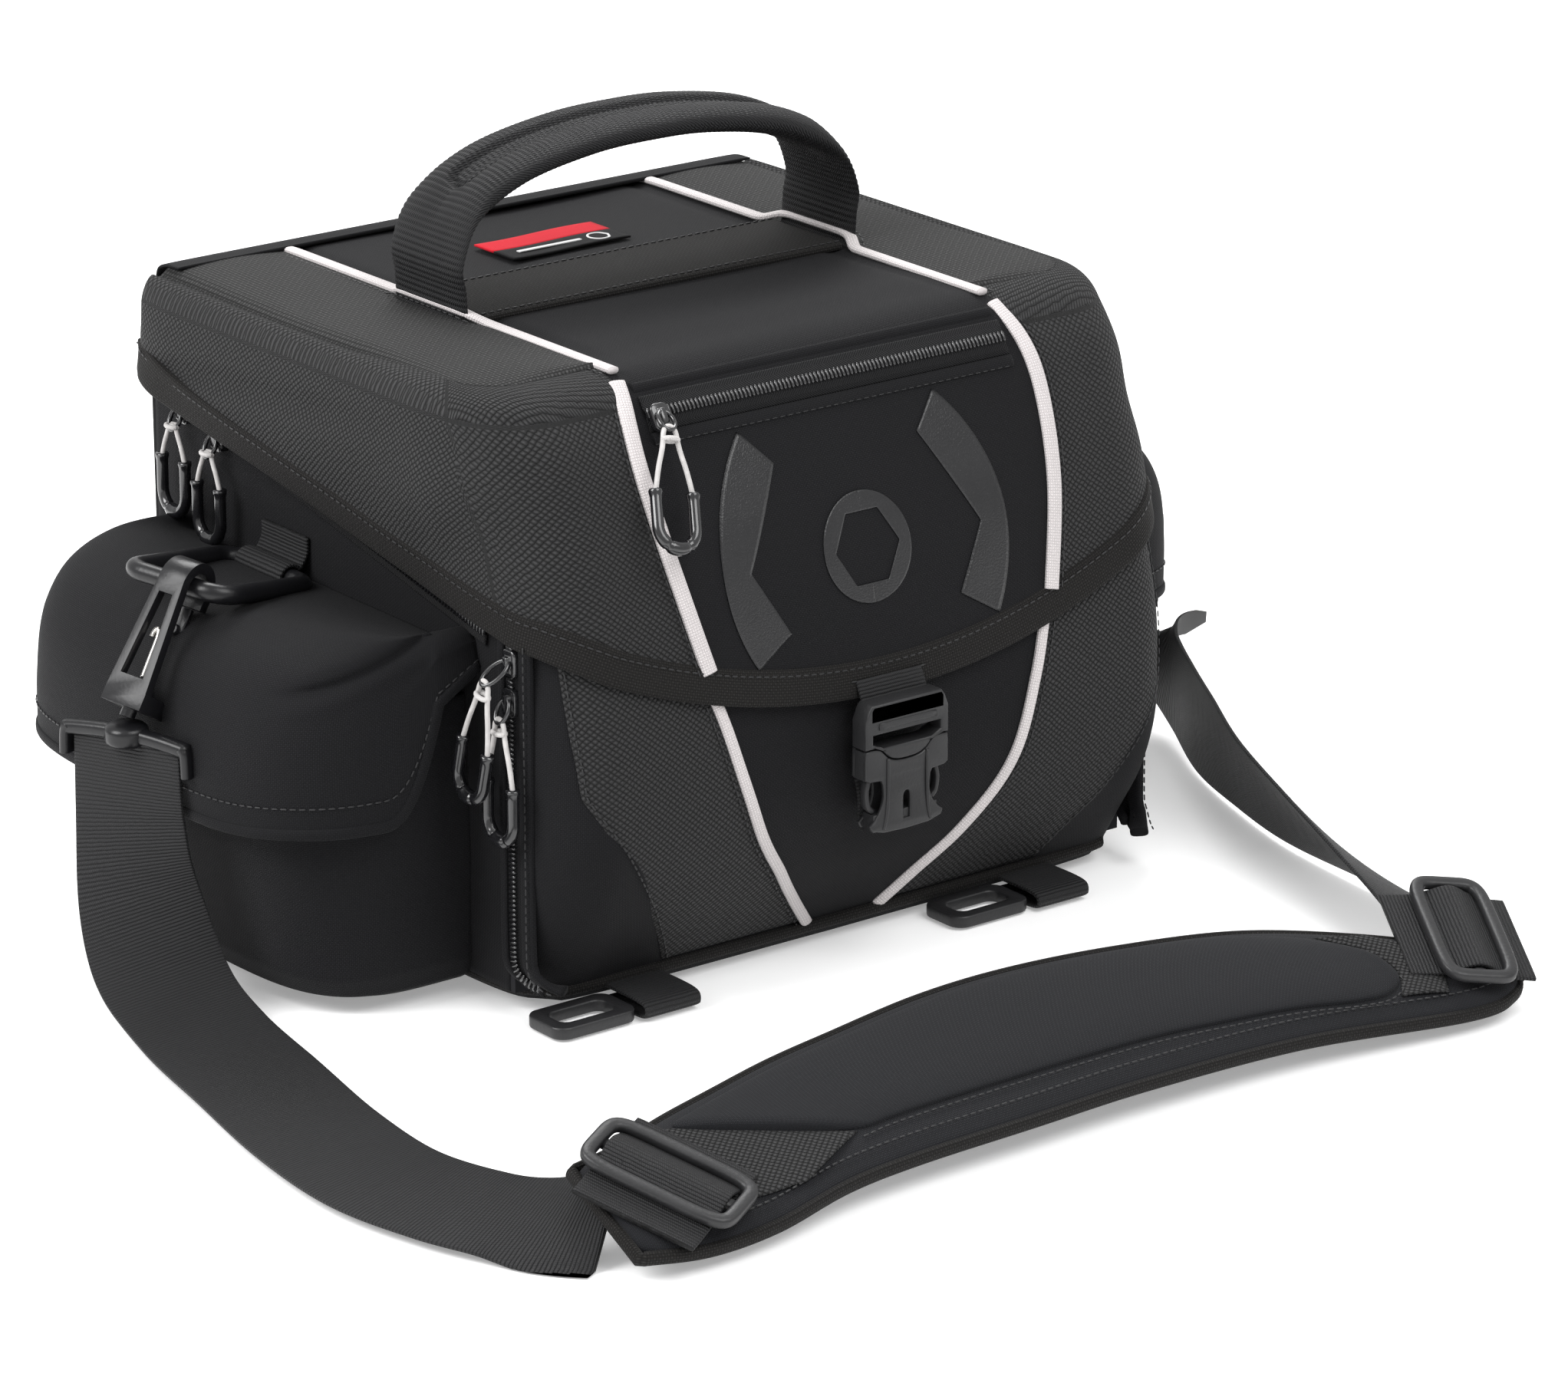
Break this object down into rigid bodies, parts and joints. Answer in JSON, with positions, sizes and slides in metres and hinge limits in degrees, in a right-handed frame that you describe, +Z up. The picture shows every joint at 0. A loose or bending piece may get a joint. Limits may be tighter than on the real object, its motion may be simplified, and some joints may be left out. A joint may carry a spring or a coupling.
{
  "type": "shoulder camera bag",
  "caption": "Padded shoulder bag for camera gear with hinged flap lid, front organiser pocket, domed side pockets, carry handle and detachable padded strap.",
  "frame": {"origin": "middle of the flat base panel, on the surface that the bag stands on", "axes": "+X to the bag right seen from the front, front faces -Y, +Z up"},
  "size_m": [0.5801, 0.4928, 0.3055],
  "materials": {
    "nylon": "fine woven nylon, matt",
    "lining": "brushed padded lining",
    "mesh": "knitted diamond mesh, matt",
    "binding": "canvas binding tape with running stitch",
    "piping": "woven flat piping",
    "zip_tape": "herringbone zip tape with coil",
    "webbing": "ribbed polyester webbing",
    "pad_fabric": "foam pad under woven cover",
    "buckle_plastic": "satin moulded acetal",
    "hook_plastic": "satin moulded nylon",
    "gate_steel": "spring steel strip",
    "slider_metal": "gloss black enamel",
    "pull_cord": "braided elastic cord",
    "grip_rubber": "moulded soft rubber"
  },
  "bodies": {
    "bag_body": {"base_panel": "nylon", "front_panel": "lining", "back_panel": "nylon", "side_panel_left": "nylon", "side_panel_right": "nylon", "dividers": "lining", "main_zip": "zip_tape", "front_pocket_panel": "nylon", "front_pocket_zip": "zip_tape", "body_piping": "piping", "side_pocket_left": "nylon", "side_pocket_right": "nylon", "dring_tabs": "webbing", "buckle_socket": "buckle_plastic", "socket_tab": "webbing", "tripod_straps": "webbing", "tripod_slides": "buckle_plastic", "strap_webbing_left": "webbing", "strap_webbing_right": "webbing", "strap_triglides": "buckle_plastic", "shoulder_pad": "pad_fabric", "pad_cover": "pad_fabric"},
    "lid": {"lid_top_panel": "nylon", "flap_centre": "nylon", "flap_wing_left": "mesh", "flap_wing_right": "mesh", "flap_binding": "binding", "lid_piping": "piping", "flap_zip": "zip_tape", "handle_strip": "webbing", "buckle_webbing": "webbing"},
    "handle": {"carry_handle": "webbing"},
    "buckle_plug": {"buckle_plug": "buckle_plastic"},
    "buckle_arm_left": {"buckle_arm_left": "buckle_plastic"},
    "buckle_arm_right": {"buckle_arm_right": "buckle_plastic"},
    "pocket_flap_left": {"side_pocket_flap_left": "nylon"},
    "pocket_flap_right": {"side_pocket_flap_right": "nylon"},
    "ring_left": {"dring_left": "hook_plastic", "hook_base_left": "hook_plastic"},
    "ring_right": {"dring_right": "hook_plastic", "hook_base_right": "hook_plastic"},
    "hook_left": {"hook_frame_left": "hook_plastic"},
    "hook_right": {"hook_frame_right": "hook_plastic"},
    "gate_left": {"hook_gate_left": "gate_steel"},
    "gate_right": {"hook_gate_right": "gate_steel"},
    "flap_zip_slider": {"flap_zip_slider": "slider_metal"},
    "flap_zip_pull": {"flap_zip_cord": "pull_cord", "flap_zip_grip": "grip_rubber"},
    "pocket_upper_slider": {"pocket_upper_slider": "slider_metal"},
    "pocket_upper_pull": {"pocket_upper_cord": "pull_cord", "pocket_upper_grip": "grip_rubber"},
    "pocket_lower_slider": {"pocket_lower_slider": "slider_metal"},
    "pocket_lower_pull": {"pocket_lower_cord": "pull_cord", "pocket_lower_grip": "grip_rubber"},
    "main_rear_slider": {"main_rear_slider": "slider_metal"},
    "main_rear_pull": {"main_rear_cord": "pull_cord", "main_rear_grip": "grip_rubber"},
    "main_front_slider": {"main_front_slider": "slider_metal"},
    "main_front_pull": {"main_front_cord": "pull_cord", "main_front_grip": "grip_rubber"}
  },
  "joints": [
    {"name": "lid_hinge", "type": "hinge", "parent": "bag_body", "child": "lid", "pos_m": [0, 0.138, 0.2355], "axis": [-1, 0, 0], "range_deg": [0, 110]},
    {"name": "handle_fold", "type": "hinge", "parent": "lid", "child": "handle", "pos_m": [0, 0.0145, 0.246], "axis": [1, 0, 0], "range_deg": [-20, 20]},
    {"name": "buckle_release", "type": "slide", "parent": "lid", "child": "buckle_plug", "axis": [0, 0, 1], "range_m": [0, 0.034]},
    {"name": "buckle_arm_left", "type": "hinge", "parent": "buckle_plug", "child": "buckle_arm_left", "pos_m": [-0.016, -0.1611, 0.093], "axis": [0, 1, 0], "range_deg": [0, 5], "stiffness_Nm_per_rad": 0.5},
    {"name": "buckle_arm_right", "type": "hinge", "parent": "buckle_plug", "child": "buckle_arm_right", "pos_m": [0.013, -0.1611, 0.093], "axis": [0, -1, 0], "range_deg": [0, 5], "stiffness_Nm_per_rad": 0.5},
    {"name": "pocket_flap_left", "type": "hinge", "parent": "bag_body", "child": "pocket_flap_left", "pos_m": [-0.16, 0.012, 0.143], "axis": [0, 1, 0], "range_deg": [0, 45]},
    {"name": "pocket_flap_right", "type": "hinge", "parent": "bag_body", "child": "pocket_flap_right", "pos_m": [0.16, 0.012, 0.143], "axis": [0, -1, 0], "range_deg": [0, 45]},
    {"name": "ring_left", "type": "hinge", "parent": "bag_body", "child": "ring_left", "pos_m": [-0.16, 0.036, 0.143], "axis": [0, 1, 0], "range_deg": [0, 45], "deforming": ["strap_webbing_left"]},
    {"name": "ring_right", "type": "hinge", "parent": "bag_body", "child": "ring_right", "pos_m": [0.16, 0.036, 0.143], "axis": [0, -1, 0], "range_deg": [0, 45], "deforming": ["strap_webbing_right"]},
    {"name": "hook_swivel_left", "type": "hinge", "parent": "ring_left", "child": "hook_left", "pos_m": [-0.2515, -0.002, 0.1095], "axis": [0.5299, 0.075, 0.8448], "range_deg": [-12, 12]},
    {"name": "hook_swivel_right", "type": "hinge", "parent": "ring_right", "child": "hook_right", "pos_m": [0.2515, -0.002, 0.1095], "axis": [-0.5299, 0.075, 0.8448], "range_deg": [-12, 12]},
    {"name": "hook_gate_left", "type": "hinge", "parent": "hook_left", "child": "gate_left", "pos_m": [-0.23882, 0.0012, 0.11606], "axis": [0.2908, -0.9517, -0.0979], "range_deg": [0, 8], "stiffness_Nm_per_rad": 0.05},
    {"name": "hook_gate_right", "type": "hinge", "parent": "hook_right", "child": "gate_right", "pos_m": [0.23882, 0.0012, 0.11606], "axis": [0.2908, 0.9517, 0.0979], "range_deg": [0, 8], "stiffness_Nm_per_rad": 0.05},
    {"name": "flap_zip_slide", "type": "slide", "parent": "lid", "child": "flap_zip_slider", "axis": [1, 0, 0], "range_m": [0, 0.165]},
    {"name": "flap_zip_pull_swing", "type": "hinge", "parent": "flap_zip_slider", "child": "flap_zip_pull", "pos_m": [-0.083, -0.11925, 0.22828], "axis": [-1, 0, 0], "range_deg": [0, 70]},
    {"name": "pocket_upper_slide", "type": "slide", "parent": "bag_body", "child": "pocket_upper_slider", "axis": [0, 0, -1], "range_m": [0, 0.004]},
    {"name": "pocket_lower_slide", "type": "slide", "parent": "bag_body", "child": "pocket_lower_slider", "axis": [0, 0, -1], "range_m": [0, 0.066]},
    {"name": "pocket_upper_pull_swing", "type": "hinge", "parent": "pocket_upper_slider", "child": "pocket_upper_pull", "pos_m": [-0.1554, -0.1165, 0.1435], "axis": [1, 0, 0], "range_deg": [-12, 6]},
    {"name": "pocket_lower_pull_swing", "type": "hinge", "parent": "pocket_lower_slider", "child": "pocket_lower_pull", "pos_m": [-0.1554, -0.1165, 0.128], "axis": [1, 0, 0], "range_deg": [-15, 15]},
    {"name": "main_rear_slide", "type": "slide", "parent": "bag_body", "child": "main_rear_slider", "axis": [0, 0.9781, 0.2083], "range_m": [0, 0.016]},
    {"name": "main_front_slide", "type": "slide", "parent": "bag_body", "child": "main_front_slider", "axis": [0, -0.9781, -0.2083], "range_m": [0, 0.004]},
    {"name": "main_rear_pull_swing", "type": "hinge", "parent": "main_rear_slider", "child": "main_rear_pull", "pos_m": [-0.1554, 0.105, 0.19014], "axis": [1, 0, 0], "range_deg": [-2, 15]},
    {"name": "main_front_pull_swing", "type": "hinge", "parent": "main_front_slider", "child": "main_front_pull", "pos_m": [-0.1554, 0.08, 0.18481], "axis": [1, 0, 0], "range_deg": [-6, 2]}
  ],
  "couplings": [
    {"joint": "buckle_arm_right", "follows": "buckle_arm_left", "ratio": 1},
    {"joint": "ring_left", "follows": "pocket_flap_left", "ratio": 1},
    {"joint": "ring_right", "follows": "pocket_flap_right", "ratio": 1}
  ]
}
